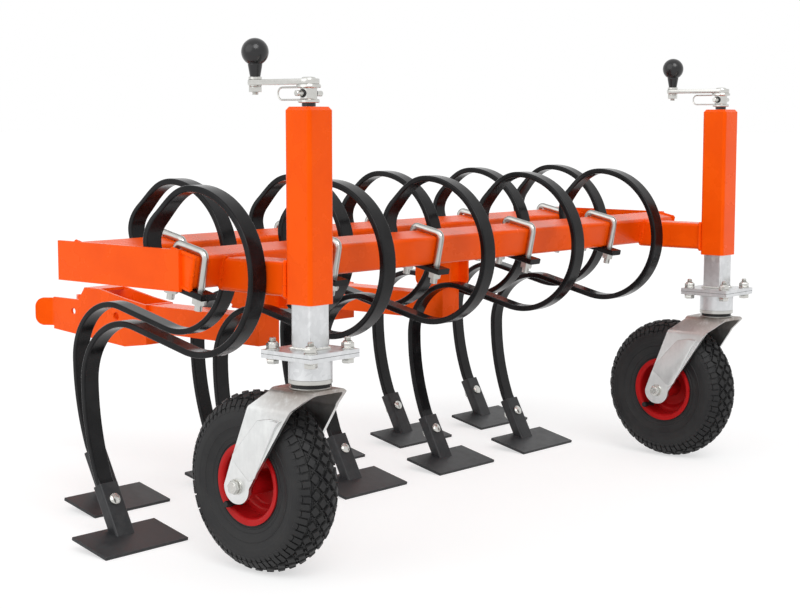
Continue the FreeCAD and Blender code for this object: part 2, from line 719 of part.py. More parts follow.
def drift_path():
    """The same first turn seen from behind: it drifts sideways to clear its own beginning."""
    path = Path(0, d.beam_height / 2, 90)
    path.straight(d.beam_height / 2 + lay)
    path.arc(d.drift_radius, 90 - d.drift_angle, -1)
    path.arc(d.drift_radius, 90, 1)
    path.straight(d.beam_height / 2)
    return path


drift = drift_path().joints[-1][0]


def long_edges(edge):
    """The edges that run along a tine, longer than the bar is wide."""
    return edge.Length > 1.05 * d.tine_wide.value


def in_beam_frame(owner, name):
    """A sketch square to the rolled beam, its X across the beam and its Y along it."""
    made = sketch(owner, name, "XY_Plane")
    made.AttachmentOffset = FreeCAD.Placement(V(0, 0, d.beam_height.value),
                                              FreeCAD.Rotation(V(0, 1, 0), d.beam_roll.value))
    bind(made, ".AttachmentOffset.Base.z", d.beam_height)
    bind(made, ".AttachmentOffset.Rotation.Angle", d.beam_roll)
    return made


clamp_reach = beam_half + d.clamp_rod / 2 + d.clamp_play
beams = {"front": (Size(0), [getattr(d, name) for name in FRONT_TRACKS]),
         "rear": (-d.beam_spacing, [getattr(d, name) for name in REAR_TRACKS])}

for beam, (beam_x, tracks) in beams.items():
    for number, track in enumerate(tracks, 1):
        coil = body(f"{beam}_coil_{number}")
        outline = sketch(coil, "outline", "XZ_Plane")
        coil_path().strip(outline, half_tine)
        pad(coil, outline, 8 * d.tine_wide, True)
        behind = sketch(coil, "behind", "YZ_Plane")
        drift_path().strip(behind, d.tine_wide / 2)
        low, high, wide = d.beam_height / 4, 2 * d.beam_height, 8 * d.tine_wide
        polygon(behind, [(-wide, low), (wide, low), (wide, high), (-wide, high)])
        pocket(coil, behind, both_ways=True)
        round_edges(coil, d.tine_edge, long_edges)
        holes = in_beam_frame(coil, "clamp_holes")
        for way in (-1, 1):
            circle(holes, (way * clamp_reach, 0), d.clamp_rod / 2 + d.clamp_play)
        pocket(coil, holes, lay + d.tine_thick)
        place(coil, x=beam_x, y=track)
        leg = body(f"{beam}_leg_{number}")
        outline = sketch(leg, "outline", "XZ_Plane", -drift)
        leg_path().strip(outline, half_tine)
        pad(leg, outline, d.tine_wide, True)
        round_edges(leg, d.tine_edge, long_edges)
        place(leg, x=beam_x, y=track)
        fused(f"{beam}_tine_{number}", [coil, leg])


# clamps: round-bar U-bolts, square to the rolled beams

def set_in_beam_frame(thing, beam_x, track, u, w, turn):
    """Places a primitive by its distances across and above a rolled beam's centre line."""
    x = beam_x + u * cosine(d.beam_roll) + w * sine(d.beam_roll)
    z = d.beam_height - u * sine(d.beam_roll) + w * cosine(d.beam_roll)
    place(thing, x, track, z, d.beam_roll + turn)


for beam, (beam_x, tracks) in beams.items():
    clamps = []
    for number, track in enumerate(tracks, 1):
        name = f"{beam}_clamp_{number}"
        parts = []
        bend = d.clamp_bend
        low = -(lay + half_tine)
        leg_end = low - d.clamp_below
        leg_top = clamp_reach - bend
        for way, word in ((-1, "back"), (1, "front")):
            leg = primitive("Part::Cylinder", f"{name}_{word}_leg", Radius=d.clamp_rod / 2,
                            Height=leg_top - leg_end)
            set_in_beam_frame(leg, beam_x, track, way * clamp_reach, leg_end, 0)
            nut = primitive("Part::Prism", f"{name}_{word}_nut", Circumradius=d.clamp_nut / math.sqrt(3),
                            Height=d.clamp_nut_tall)
            nut.Polygon = 6
            set_in_beam_frame(nut, beam_x, track, way * clamp_reach, low - d.clamp_nut_tall, 0)
            parts += [leg, nut]
        crown = primitive("Part::Cylinder", f"{name}_crown", Radius=d.clamp_rod / 2,
                          Height=2 * (clamp_reach - bend))
        set_in_beam_frame(crown, beam_x, track, -(clamp_reach - bend), clamp_reach, 90)
        parts.append(crown)
        for way, word in ((-1, "back"), (1, "front")):
            elbow = body(f"{name}_{word}_bend")
            round_section = sketch(elbow, "section", "XY_Plane")
            circle(round_section, (bend * way, 0), d.clamp_rod / 2)
            swept = elbow.newObject("PartDesign::Revolution", f"{name}_{word}_bend_turned")
            swept.Profile = round_section
            swept.ReferenceAxis = (base(elbow, "Y_Axis"), [""])
            swept.Angle = 90
            swept.Reversed = way > 0
            set_in_beam_frame(elbow, beam_x, track, way * (clamp_reach - bend), clamp_reach - bend, 0)
            parts.append(elbow)
        clamps.append(fused(name, parts))
    group = doc.addObject("Part::Compound", f"{beam}_clamps")
    group.Links = clamps
    group.Label = f"{beam}_clamps"


# shoes: scraper plates with a socket for the tip of the tine

slope = sine(d.shoe_tilt) / cosine(d.shoe_tilt)
lean_sine, lean_cosine = sine(d.leg_lean), cosine(d.leg_lean)
for beam, (beam_x, tracks) in beams.items():
    for number, track in enumerate(tracks, 1):
        shoe = body(f"{beam}_shoe_{number}")
        blade = sketch(shoe, "blade", "XZ_Plane")
        front = -d.shoe_setback
        run, rise = d.shoe_long * cosine(d.shoe_tilt), d.shoe_long * sine(d.shoe_tilt)
        up, over = d.shoe_thick * cosine(d.shoe_tilt), d.shoe_thick * sine(d.shoe_tilt)
        polygon(blade, [(front, 0), (front + over, up), (front - run + over, rise + up),
                        (front - run, rise)])
        pad(shoe, blade, d.shoe_wide, True)
        end_x, end_z, _ = leg_path().joints[-1]
        top_x, top_z = end_x - d.socket_overlap * lean_sine, end_z + d.socket_overlap * lean_cosine
        case = sketch(shoe, "socket", "XZ_Plane")
        middle = d.shoe_thick / (2 * cosine(d.shoe_tilt))
        corners = []
        for way in (-1, 1):
            x = top_x + way * d.socket_deep / 2 * lean_cosine
            z = top_z + way * d.socket_deep / 2 * lean_sine
            fall = (z - middle - (front - x) * slope) / (lean_cosine - lean_sine * slope)
            corners.extend([(x, z), (x + fall * lean_sine, z - fall * lean_cosine)][::way])
        polygon(case, corners)
        pad(shoe, case, d.socket_wide, True)
        along = V(lean_sine.value, 0, -lean_cosine.value)
        round_edges(shoe, d.socket_edge, lambda edge: runs_along(edge, along))
        bore = sketch(shoe, "bore", "XZ_Plane")
        inner = half_tine + d.socket_play
        points = []
        for reach, way in ((-2 * d.socket_overlap, -1), (-2 * d.socket_overlap, 1),
                           (d.socket_play, 1), (d.socket_play, -1)):
            points.append((end_x + reach * lean_sine + way * inner * lean_cosine,
                           end_z - reach * lean_cosine + way * inner * lean_sine))
        polygon(bore, points)
        pocket(shoe, bore, d.tine_wide + 2 * d.socket_play, both_ways=True)
        place(shoe, x=beam_x, y=track + drift)


# hitch: two mitred arms below the rear beam, each with a pin bracket

def under_beam(x):
    """Height of the plane of a rolled beam's underside, at a distance from its centre line."""
    return d.beam_height - (beam_half + x * sine(d.beam_roll)) / cosine(d.beam_roll)


for side, sign in SIDES.items():
    y = sign * d.hitch_offset
    leg_front, leg_back = -d.hitch_setback + beam_half, -d.hitch_setback - beam_half
    end = leg_front - d.hitch_long - d.beam_size
    arm = body(f"{side}_hitch_arm")
    high = d.hitch_bottom + d.beam_size
    outer = [(leg_front, under_beam(leg_front)), (leg_back, under_beam(leg_back)), (leg_back, high),
             (end, high), (end, d.hitch_bottom), (leg_front, d.hitch_bottom)]
    outline = sketch(arm, "outline", "XZ_Plane")
    polygon(outline, outer)
    pad(arm, outline, d.beam_size, True)
    w = d.beam_wall
    hollow = sketch(arm, "hollow", "XZ_Plane")
    polygon(hollow, [(leg_front - w, 2 * high), (leg_back + w, 2 * high), (leg_back + w, high - w),
                     (end - w, high - w), (end - w, d.hitch_bottom + w),
                     (leg_front - w, d.hitch_bottom + w)])
    pocket(arm, hollow, d.beam_size - 2 * w, both_ways=True)
    place(arm, x=-d.beam_spacing, y=y)

    for face, word in ((-1, "right"), (1, "left")):
        saddle = body(f"{side}_saddle_{word}")
        outline = sketch(saddle, "outline", "XZ_Plane")
        back, fore = -d.saddle_rear, d.saddle_front
        polygon(outline, [(fore, d.saddle_bottom), (fore, under_beam(fore)), (back, under_beam(back)),
                          (back, d.saddle_bottom)])
        pad(saddle, outline, d.saddle_thick, True)
        round_edges(saddle, 3 * d.saddle_thick,
                    lambda edge: runs_along(edge, V(0, 1, 0))
                    and edge.CenterOfMass.z < d.saddle_bottom.value + 1)
        place(saddle, x=-d.beam_spacing, y=y + face * (d.beam_size + d.saddle_thick) / 2)

    # the bracket: two cheeks bent back from a web, their ends flared to guide the draft links
    bracket = body(f"{side}_hitch_bracket")
    outline = sketch(bracket, "outline", "XZ_Plane")
    t, cheek = d.bracket_thick, d.bracket_inside / 2
    polygon(outline, [(0, -d.web_low), (0, d.web_high), (-d.shoulder_back, d.shoulder_high),
                      (-d.peak_front, d.peak_high), (-d.peak_back, d.peak_high),
                      (-d.neck_back, d.neck_high), (-d.bracket_long, d.neck_high),
                      (-d.bracket_long, -d.heel_low), (-d.belly_back, -d.belly)])
    pad(bracket, outline, 2 * (cheek + t), True)
    inside = sketch(bracket, "inside", "XZ_Plane")
    far, deep = 2 * d.bracket_long, 2 * d.web_high
    polygon(inside, [(-t, -deep), (-t, deep), (-far, deep), (-far, -deep)])
    pocket(bracket, inside, 2 * cheek, both_ways=True)
    top_tie = sketch(bracket, "top_tie", "XZ_Plane")
    polygon(top_tie, [(-d.peak_front, d.peak_high - t), (-d.peak_front, d.peak_high),
                      (-d.peak_back, d.peak_high), (-d.peak_back, d.peak_high - t)])
    pad(bracket, top_tie, 2 * cheek + t, True)
    ties = sketch(bracket, "bottom_ties", "XZ_Plane")
    slope_down = (d.belly - d.heel_low) / (d.bracket_long - d.belly_back)
    for back, front in ((d.bracket_long, d.bracket_long - d.rear_tie),
                        (d.belly_back + d.front_tie, d.belly_back)):
        heights = [-d.heel_low - (d.bracket_long - at) * slope_down for at in (back, front)]
        polygon(ties, [(-back, heights[0]), (-front, heights[1]), (-front, heights[1] + t),
                       (-back, heights[0] + t)])
    pad(bracket, ties, 2 * cheek + t, True)
    for word, way in (("right", -1), ("left", 1)):
        wing = sketch(bracket, f"{word}_wing", "XY_Plane", -d.wing_low)
        path = Path(1 - d.bracket_long, way * (cheek + t / 2), 180)
        path.straight(as_size(1))
        path.arc(d.wing_bend, 180 - way * d.wing_angle, -way)
        path.straight(d.wing_run)
        path.strip(wing, t / 2)
        pad(bracket, wing, d.wing_tall)
        end = path.joints[-1]
        round_edges(bracket, d.wing_corner,
                    lambda edge: abs(edge.Length - t.value) < 0.01
                    and (edge.CenterOfMass - V(end[0].value, end[1].value, 0)).cross(V(0, 0, 1)).Length
                    < 0.01, f"{word}_wing_corners")
    for name, at, across in (("front_hole", d.front_pin_back, d.front_pin),
                             ("rear_hole", d.rear_pin_back, d.rear_pin)):
        hole = sketch(bracket, name, "XZ_Plane")
        circle(hole, (-at, d.pin_height), across / 2)
        pocket(bracket, hole, both_ways=True)
    place(bracket, x=leg_front - d.beam_spacing - d.hitch_long - d.beam_size, y=y, z=d.hitch_bottom)


# check and write out

doc.recompute()
nodes = []
for thing in doc.Objects:
    bad = [state for state in thing.State if state in ("Invalid", "Error")]
    if bad:
        raise RuntimeError(f"{thing.Name}: {bad}")
kinds = ("Part::MultiFuse", "Part::Compound", "PartDesign::Body")
used = {part for thing in doc.Objects if thing.TypeId in kinds[:2]
        for part in (thing.Shapes if thing.TypeId == kinds[0] else thing.Links)}
for thing in doc.Objects:
    if thing.TypeId in kinds and thing not in used:
        nodes.append(thing)
os.makedirs("parts", exist_ok=True)
for node in nodes:
    if node.Shape.isNull() or not node.Shape.isValid():
        raise RuntimeError(f"{node.Label} is not a sound shape")
    node.Shape.exportStep(f"parts/{node.Label}.step")
print(len(nodes), "pieces")
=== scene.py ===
"""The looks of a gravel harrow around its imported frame. Metres; +X forward, +Y left, +Z up."""
import json
import math

import bmesh
import bpy
from mathutils import Matrix, Vector


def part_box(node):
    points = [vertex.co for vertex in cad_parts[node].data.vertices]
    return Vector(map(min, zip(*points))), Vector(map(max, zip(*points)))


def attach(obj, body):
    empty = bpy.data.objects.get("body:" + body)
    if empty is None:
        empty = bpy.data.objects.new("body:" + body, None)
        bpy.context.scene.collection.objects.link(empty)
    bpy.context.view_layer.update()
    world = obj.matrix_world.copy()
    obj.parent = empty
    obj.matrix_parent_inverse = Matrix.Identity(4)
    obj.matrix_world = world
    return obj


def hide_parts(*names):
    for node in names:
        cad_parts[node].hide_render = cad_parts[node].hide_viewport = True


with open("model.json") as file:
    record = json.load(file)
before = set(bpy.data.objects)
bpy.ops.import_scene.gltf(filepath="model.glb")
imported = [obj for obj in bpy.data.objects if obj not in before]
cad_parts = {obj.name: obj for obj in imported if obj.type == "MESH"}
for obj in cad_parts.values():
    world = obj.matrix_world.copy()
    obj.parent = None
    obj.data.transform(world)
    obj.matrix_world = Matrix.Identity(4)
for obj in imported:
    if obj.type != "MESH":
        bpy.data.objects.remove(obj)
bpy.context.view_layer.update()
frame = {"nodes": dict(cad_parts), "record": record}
MM = 0.001
SIDES = ("right", "left")
TRACKS = range(1, 6)
ACROSS = Vector((0, 1, 0))
UP = Vector((0, 0, 1))


def low(node):
    """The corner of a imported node's box with its least X, Y and Z."""
    return Vector(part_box(node)[0])


def high(node):
    """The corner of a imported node's box with its greatest X, Y and Z."""
    return Vector(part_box(node)[1])


def middle(node):
    """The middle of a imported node's box."""
    return (low(node) + high(node)) / 2


# ---------------------------------------------------------------- shader maths

class Wire:
    """A socket in a material, with Python's operators as Math nodes."""

    def __init__(self, shop, socket):
        self.shop, self.socket = shop, socket

    def _math(self, operation, *values):
        return self.shop.node("ShaderNodeMath", {"operation": operation}, dict(enumerate(values)))

    def __add__(self, other):
        return self._math("ADD", self, other)

    def __radd__(self, other):
        return self._math("ADD", other, self)

    def __sub__(self, other):
        return self._math("SUBTRACT", self, other)

    def __rsub__(self, other):
        return self._math("SUBTRACT", other, self)

    def __mul__(self, other):
        return self._math("MULTIPLY", self, other)

    def __rmul__(self, other):
        return self._math("MULTIPLY", other, self)

    def __truediv__(self, other):
        return self._math("DIVIDE", self, other)


class Finish:
    """One material: its nodes, and the surface shader that they feed."""

    def __init__(self, name):
        self.material = bpy.data.materials.new(name)
        self.material.use_nodes = True
        self.tree = self.material.node_tree
        self.tree.nodes.clear()
        output = self.tree.nodes.new("ShaderNodeOutputMaterial")
        self.shader = self.tree.nodes.new("ShaderNodeBsdfPrincipled")
        self.tree.links.new(self.shader.outputs[0], output.inputs["Surface"])
        self.place = self.node("ShaderNodeTexCoord", {}, {}, "Object")

    def node(self, kind, settings, inputs, output=0):
        """Adds a node: its settings first, then the values or wires of its sockets."""
        made = self.tree.nodes.new(kind)
        for name, value in settings.items():
            setattr(made, name, value)
        for name, value in inputs.items():
            self.plug(made.inputs[name], value)
        return Wire(self, made.outputs[output])

    def plug(self, socket, value):
        """Wires a socket, or sets its value."""
        if isinstance(value, Wire):
            self.tree.links.new(value.socket, socket)
        else:
            socket.default_value = value

    def set(self, **inputs):
        """Sets or wires inputs of the surface shader, named in lower case."""
        for name, value in inputs.items():
            self.plug(self.shader.inputs[name.replace("_", " ").title().replace("Ior", "IOR")], value)

    def noise(self, scale, detail=3.0, roughness=0.55, stretch=None):
        """Noise from 0 to 1; scale counts features a metre, and stretch squeezes them by axis."""
        place = self.place
        if stretch:
            place = self.node("ShaderNodeMapping", {}, {"Vector": place, "Scale": stretch})
        return self.node("ShaderNodeTexNoise", {"noise_dimensions": "3D"},
                         {"Vector": place, "Scale": scale, "Detail": detail,
                          "Roughness": roughness})

    def between(self, wire, start, end):
        """Stretches the part of a wire between two values to the range 0 to 1."""
        return self.node("ShaderNodeMapRange", {"clamp": True},
                         {"Value": wire, "From Min": start, "From Max": end})

    def mix(self, factor, first, second):
        """Blends two colours."""
        return self.node("ShaderNodeMix", {"data_type": "RGBA"}, {0: factor, 6: first, 7: second}, 2)

    def bump(self, height, distance, strength):
        """Roughens the surface by a height, with its depth in metres."""
        self.set(normal=self.node("ShaderNodeBump", {},
                                  {"Height": height, "Distance": distance, "Strength": strength}))


def rgb(red, green, blue):
    """An opaque colour for a socket."""
    return (red, green, blue, 1.0)


def powder_coat():
    """Orange powder coat: thick, glossy, with a faint orange-peel ripple."""
    made = Finish("orange_powder_coat")
    cloud = made.noise(14, 4)
    colour = made.mix(made.between(cloud, 0.35, 0.65), rgb(0.90, 0.082, 0.0015), rgb(0.97, 0.098, 0.002))
    made.set(base_color=colour, roughness=made.between(cloud, 0.0, 1.0) * 0.10 + 0.22,
             ior=1.38, specular_tint=rgb(1.0, 0.45, 0.12))
    made.bump(made.noise(420, 2), 0.00012, 0.5)
    return made.material


def spring_paint():
    """Black paint on the spring bars."""
    made = Finish("black_spring_paint")
    cloud = made.noise(30, 4)
    colour = made.mix(made.between(cloud, 0.4, 0.7), rgb(0.004, 0.004, 0.0045), rgb(0.011, 0.011, 0.012))
    made.set(base_color=colour, roughness=cloud * 0.14 + 0.12, ior=1.27)
    made.bump(made.noise(260, 3), 0.0002, 0.5)
    return made.material


def shoe_paint():
    """Thin matt black paint on the shoes, with a trace of dust and fine scratches."""
    made = Finish("black_shoe_paint")
    dust = made.between(made.noise(55, 6, 0.7), 0.45, 0.75)
    colour = made.mix(dust, rgb(0.018, 0.019, 0.021), rgb(0.042, 0.043, 0.045))
    scratch = made.noise(40, 3, 0.6, (1.0, 14.0, 1.0))
    made.set(base_color=colour, roughness=dust * 0.15 + 0.40, ior=1.4)
    made.bump(scratch, 0.0003, 0.4)
    return made.material


def zinc_plate(name, tone, rough):
    """Bright zinc plate on bolts, clamps and cranks."""
    made = Finish(name)
    cloud = made.noise(90, 4, 0.6)
    colour = made.mix(cloud, rgb(tone * 0.78, tone * 0.77, tone * 0.73), rgb(tone, tone, tone * 0.96))
    made.set(base_color=colour, metallic=1.0, roughness=cloud * 0.16 + rough)
    made.bump(made.noise(700, 2), 0.00008, 0.4)
    return made.material


def galvanised():
    """Hot-dip galvanising: grey, faintly spangled, with drawn streaks."""
    made = Finish("galvanised")
    spangle = made.node("ShaderNodeTexVoronoi", {"feature": "F1"},
                        {"Vector": made.place, "Scale": 130.0}, "Color")
    tint = made.node("ShaderNodeSeparateColor", {}, {"Color": spangle}, "Red")
    cloud = made.noise(24, 5, 0.6)
    streak = made.noise(60, 3, 0.5, (6.0, 6.0, 0.35))
    colour = made.mix(tint * 0.3 + cloud * 0.7, rgb(0.52, 0.53, 0.54), rgb(0.80, 0.81, 0.82))
    made.set(base_color=colour, metallic=1.0, roughness=tint * 0.10 + streak * 0.2 + 0.22)
    made.bump(cloud * 0.6 + streak * 0.4, 0.0006, 0.35)
    return made.material


def rim_paint():
    """Red enamel on the wheel rims."""
    made = Finish("red_rim_paint")
    cloud = made.noise(60, 3)
    colour = made.mix(cloud, rgb(0.38, 0.006, 0.008), rgb(0.50, 0.009, 0.011))
    made.set(base_color=colour, roughness=cloud * 0.12 + 0.24, ior=1.40,
             specular_tint=rgb(1.0, 0.35, 0.30))
    made.bump(made.noise(380, 2), 0.0001, 0.5)
    return made.material


def tyre_rubber():
    """Dusty black rubber."""
    made = Finish("tyre_rubber")
    grain = made.noise(900, 3, 0.7)
    cloud = made.between(made.noise(35, 5, 0.6), 0.35, 0.7)
    colour = made.mix(cloud, rgb(0.010, 0.010, 0.011), rgb(0.021, 0.021, 0.021))
    made.set(base_color=colour, roughness=cloud * 0.14 + 0.50, ior=1.38)
    made.bump(grain, 0.00015, 0.6)
    return made.material


def fork_zinc(side):
    """Zinc on a caster fork, browned on its top round the kingpin."""
    made = Finish(f"{side}_fork_zinc")
    pin = middle(f"{side}_swivel_seal")
    cloud = made.noise(70, 5, 0.65)
    streak = made.noise(30, 3, 0.5, (5.0, 5.0, 0.7))
    across = made.node("ShaderNodeVectorMath", {"operation": "DISTANCE"},
                       {0: made.place, 1: (pin.x, pin.y, high(f"{side}_fork").z)}, "Value")
    # A brown patch on the fork's top round the kingpin, mixed into the zinc, with less metal there.
    brown_patch = made.between(across + cloud * 0.03, 0.12, 0.06) * made.between(cloud, 0.2, 0.5)
    bright = made.mix(cloud * 0.6 + streak * 0.4, rgb(0.58, 0.59, 0.59), rgb(0.88, 0.89, 0.88))
    made.set(base_color=made.mix(brown_patch * 0.9, bright, rgb(0.15, 0.095, 0.06)),
             metallic=1 - brown_patch * 0.5, roughness=cloud * 0.16 + streak * 0.12 + 0.20)
    made.bump(cloud * 0.5 + streak * 0.5, 0.0005, 0.35)
    return made.material


def knob_plastic():
    """Glossy black plastic."""
    made = Finish("black_knob")
    cloud = made.noise(120, 3)
    made.set(base_color=rgb(0.008, 0.008, 0.009), roughness=cloud * 0.1 + 0.18, ior=1.5)
    made.bump(made.noise(500, 2), 0.00006, 0.4)
    return made.material


ORANGE, SPRING, SHOE = powder_coat(), spring_paint(), shoe_paint()
ZINC, GALVANISED, RED = zinc_plate("bright_zinc", 0.60, 0.24), galvanised(), rim_paint()
RUBBER, PLASTIC = tyre_rubber(), knob_plastic()
BRIGHT = zinc_plate("bright_bolt_zinc", 0.66, 0.16)
LOOKS = {"orange_paint": ORANGE, "black_spring_steel": SPRING, "black_shoe_steel": SHOE, "zinc": ZINC,
         "galvanised": GALVANISED, "red_paint": RED, "tyre": RUBBER, "black_plastic": PLASTIC}


def paint_nodes():
    """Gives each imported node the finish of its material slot."""
    slots = {part["node"]: part["material_slot"] for part in frame["record"]["subparts"]}
    for name, thing in frame["nodes"].items():
        thing.data.materials.clear()
        thing.data.materials.append(LOOKS[slots[name]])


paint_nodes()
for side in SIDES:
    frame["nodes"][f"{side}_fork"].data.materials[0] = fork_zinc(side)


# ---------------------------------------------------------------- shapes

# Edges sharper than this stay sharp. Bolts have one pitch of thread, in mm.
SHARP = math.radians(38)
THREAD_PITCH = 1.5
WIRE_SIDES = 12


def facing(place, up, roll=0.0):
    """A matrix that stands a shape at a place with its own Z along up, turned about it first."""
    turn = Vector(up).to_track_quat("Z", "Y").to_matrix().to_4x4()
    return Matrix.Translation(place) @ turn @ Matrix.Rotation(roll, 4, "Z")


class Piece:
    """A new piece of the harrow: shapes are added to it, and then it is fitted to a body."""

    def __init__(self, name):
        self.name = name
        self.mesh = bmesh.new()

    def add(self, shape, place=Matrix.Identity(4)):
        """Puts a shape in place and joins it to the piece."""
        bmesh.ops.recalc_face_normals(shape, faces=shape.faces)
        shape.transform(place)
        carried = bpy.data.meshes.new("carried")
        shape.to_mesh(carried)
        shape.free()
        self.mesh.from_mesh(carried)
        bpy.data.meshes.remove(carried)

    def repeat(self, shape, places):
        """Joins a copy of a shape at each of many places."""
        bmesh.ops.recalc_face_normals(shape, faces=shape.faces)
        carried = bpy.data.meshes.new("carried")
        shape.to_mesh(carried)
        shape.free()
        for place in places:
            copy = carried.copy()
            copy.transform(place)
            self.mesh.from_mesh(copy)
            bpy.data.meshes.remove(copy)
        bpy.data.meshes.remove(carried)

    def fit(self, body, look, instead=()):
        """Finishes the piece: smooth faces with sharp edges, its look, and the body that carries it."""
        mesh = bpy.data.meshes.new(self.name)
        self.mesh.to_mesh(mesh)
        self.mesh.free()
        mesh.shade_smooth()
        mesh.set_sharp_from_angle(angle=SHARP)
        mesh.materials.append(look)
        thing = bpy.data.objects.new(self.name, mesh)
        bpy.context.collection.objects.link(thing)
        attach(thing, body)
        if instead:
            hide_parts(*instead)


def turned(outline, steps=32):
    """A shape turned on a lathe about Z, from its outline of (radius, height) pairs in mm."""
    shape = bmesh.new()
    verts = [shape.verts.new((radius * MM, 0, height * MM)) for radius, height in outline]
    edges = [shape.edges.new(pair) for pair in zip(verts, verts[1:])]
    bmesh.ops.spin(shape, geom=verts + edges, cent=(0, 0, 0), axis=(0, 0, 1),
                   angle=2 * math.pi, steps=steps, use_merge=True)
    bmesh.ops.remove_doubles(shape, verts=shape.verts, dist=0.01 * MM)
    return shape


def ring(inside, outside, bottom, top, edge=0.4, steps=40):
    """A washer or collar with broken edges."""
    return turned([(inside, bottom), (outside - edge, bottom), (outside, bottom + edge),
                   (outside, top - edge), (outside - edge, top), (inside, top), (inside, bottom)],
                  steps)


def hexagon(across, bottom, tall):
    """A bolt head or a nut, standing along Z, with softened corners."""
    shape = bmesh.new()
    radius = across / math.sqrt(3) * MM
    bmesh.ops.create_cone(shape, cap_ends=True, segments=6, radius1=radius, radius2=radius,
                          depth=tall * MM, matrix=Matrix.Translation((0, 0, (bottom + tall / 2) * MM)))
    rims = [edge for edge in shape.edges if abs(edge.verts[0].co.z - edge.verts[1].co.z) < 0.01 * MM]
    bmesh.ops.bevel(shape, geom=rims, offset=across * 0.055 * MM, offset_type="OFFSET",
                    affect="EDGES", segments=2, profile=0.5, material=-1)
    return shape


def threaded(radius, bottom, top):
    """The end of a screw: a rod with the grooves of its thread and a broken end."""
    outline = [(0, bottom), (radius, bottom)]
    root = radius * 0.86
    for turn in range(int((top - bottom) / THREAD_PITCH)):
        outline += [(radius, bottom + (turn + 0.35) * THREAD_PITCH),
                    (root, bottom + (turn + 0.65) * THREAD_PITCH)]
    return turned(outline + [(root, top - 0.6), (radius * 0.66, top), (0, top)], 16)


def dome(radius, tall, bottom):
    """The low round head of a carriage bolt."""
    arc = [(radius * math.cos(turn), bottom + 1 + tall * math.sin(turn))
           for turn in (math.pi / 2 * step / 7 for step in range(8))]
    return turned([(0, bottom), (radius, bottom)] + arc[:-1] + [(0, bottom + 1 + tall)])


def slab(ends, bottom, tall, edge):
    """A flat bar whose round ends are given as (x, y, radius) in mm."""
    shape = bmesh.new()
    for x, y, radius in ends:
        for height in (bottom, bottom + tall):
            bmesh.ops.create_circle(shape, cap_ends=False, segments=40, radius=radius * MM,
                                    matrix=Matrix.Translation((x * MM, y * MM, height * MM)))
    hull = bmesh.ops.convex_hull(shape, input=shape.verts)
    bmesh.ops.delete(shape, geom=[thing for thing in hull["geom_interior"]
                                  if isinstance(thing, bmesh.types.BMVert)], context="VERTS")
    loose = [vert for vert in shape.verts if not vert.link_faces]
    bmesh.ops.delete(shape, geom=loose, context="VERTS")
    bmesh.ops.dissolve_limit(shape, angle_limit=math.radians(1), verts=shape.verts, edges=shape.edges)
    rims = [item for item in shape.edges if item.calc_face_angle(0) > 1.2]
    bmesh.ops.bevel(shape, geom=rims, offset=edge * MM, offset_type="OFFSET", affect="EDGES",
                    segments=2, profile=0.5, material=-1)
    return shape


def bent_wire(thick, moves):
    """A round wire in the XZ plane: it sets out along Z, and each move is a run, a bend and a turn."""
    shape = bmesh.new()
    bmesh.ops.create_circle(shape, cap_ends=False, segments=WIRE_SIDES, radius=thick / 2 * MM)
    rim = list(shape.edges)
    at, heading = Vector(), Vector((0, 0, 1))
    for run, bend, turn in moves:
        if run:
            made = bmesh.ops.extrude_edge_only(shape, edges=rim)["geom"]
            verts = [thing for thing in made if isinstance(thing, bmesh.types.BMVert)]
            bmesh.ops.translate(shape, verts=verts, vec=heading * run * MM)
            rim = [edge for edge in made if isinstance(edge, bmesh.types.BMEdge)
                   and all(vert in verts for vert in edge.verts)]
            at += heading * run * MM
        if turn:
            way = math.copysign(1, turn)
            centre = at + Vector((heading.z, 0, -heading.x)) * bend * MM * way
            verts = list({vert for edge in rim for vert in edge.verts})
            made = bmesh.ops.spin(shape, geom=verts + rim, cent=centre, axis=(0, 1, 0),
                                  angle=math.radians(turn), steps=8, use_merge=False)
            rim = [thing for thing in made["geom_last"] if isinstance(thing, bmesh.types.BMEdge)]
            swing = Matrix.Rotation(math.radians(turn), 3, "Y")
            at = centre + swing @ (at - centre)
            heading = swing @ heading
    bmesh.ops.remove_doubles(shape, verts=shape.verts, dist=0.01 * MM)
    bmesh.ops.holes_fill(shape, edges=[edge for edge in shape.edges if edge.is_boundary])
    return shape


WELD_RIPPLE = 2.4 * MM
CIRCLE_STEPS = 28


def scale_of_weld(size):
    """One ripple of a weld: a small flattened ball."""
    shape = bmesh.new()
    bmesh.ops.create_uvsphere(shape, u_segments=8, v_segments=5, radius=size * MM)
    return shape


def weld(piece, corners, size):
    """Lays a rippled bead of weld along straight runs between corners, given in metres."""
    places = []
    for start, end in zip(corners, corners[1:]):
        start, end = Vector(start), Vector(end)
        along = end - start
        count = max(1, round(along.length / WELD_RIPPLE))
        lean = along.to_track_quat("Z", "Y").to_matrix().to_4x4()
        for step in range(count):
            swell = 1 + 0.12 * math.sin(2.3 * step) * math.cos(0.7 * step)
            places.append(Matrix.Translation(start + along * (step + 0.5) / count) @ lean
                          @ Matrix.Diagonal((swell, swell, 0.75, 1)))
    piece.repeat(scale_of_weld(size), places)


def square(centre, first, second):
    """The five corners, back to the first, of a rectangle with two half sides."""
    centre, first, second = Vector(centre), Vector(first), Vector(second)
    return [centre + first + second, centre - first + second, centre - first - second,
            centre + first - second, centre + first + second]


def circle(centre, radius):
    """Points round a level circle, back to the first."""
    return [Vector(centre) + Vector((radius * math.cos(turn), radius * math.sin(turn), 0))
            for turn in (2 * math.pi * step / CIRCLE_STEPS for step in range(CIRCLE_STEPS + 1))]


# ---------------------------------------------------------------- welds of the frame

BEAM_ROLL = math.radians(12)
BEAM_FORWARD = Vector((math.cos(BEAM_ROLL), 0, -math.sin(BEAM_ROLL)))
BEAM_UP = Vector((math.sin(BEAM_ROLL), 0, math.cos(BEAM_ROLL)))
TUBE_HALF = 25 * MM
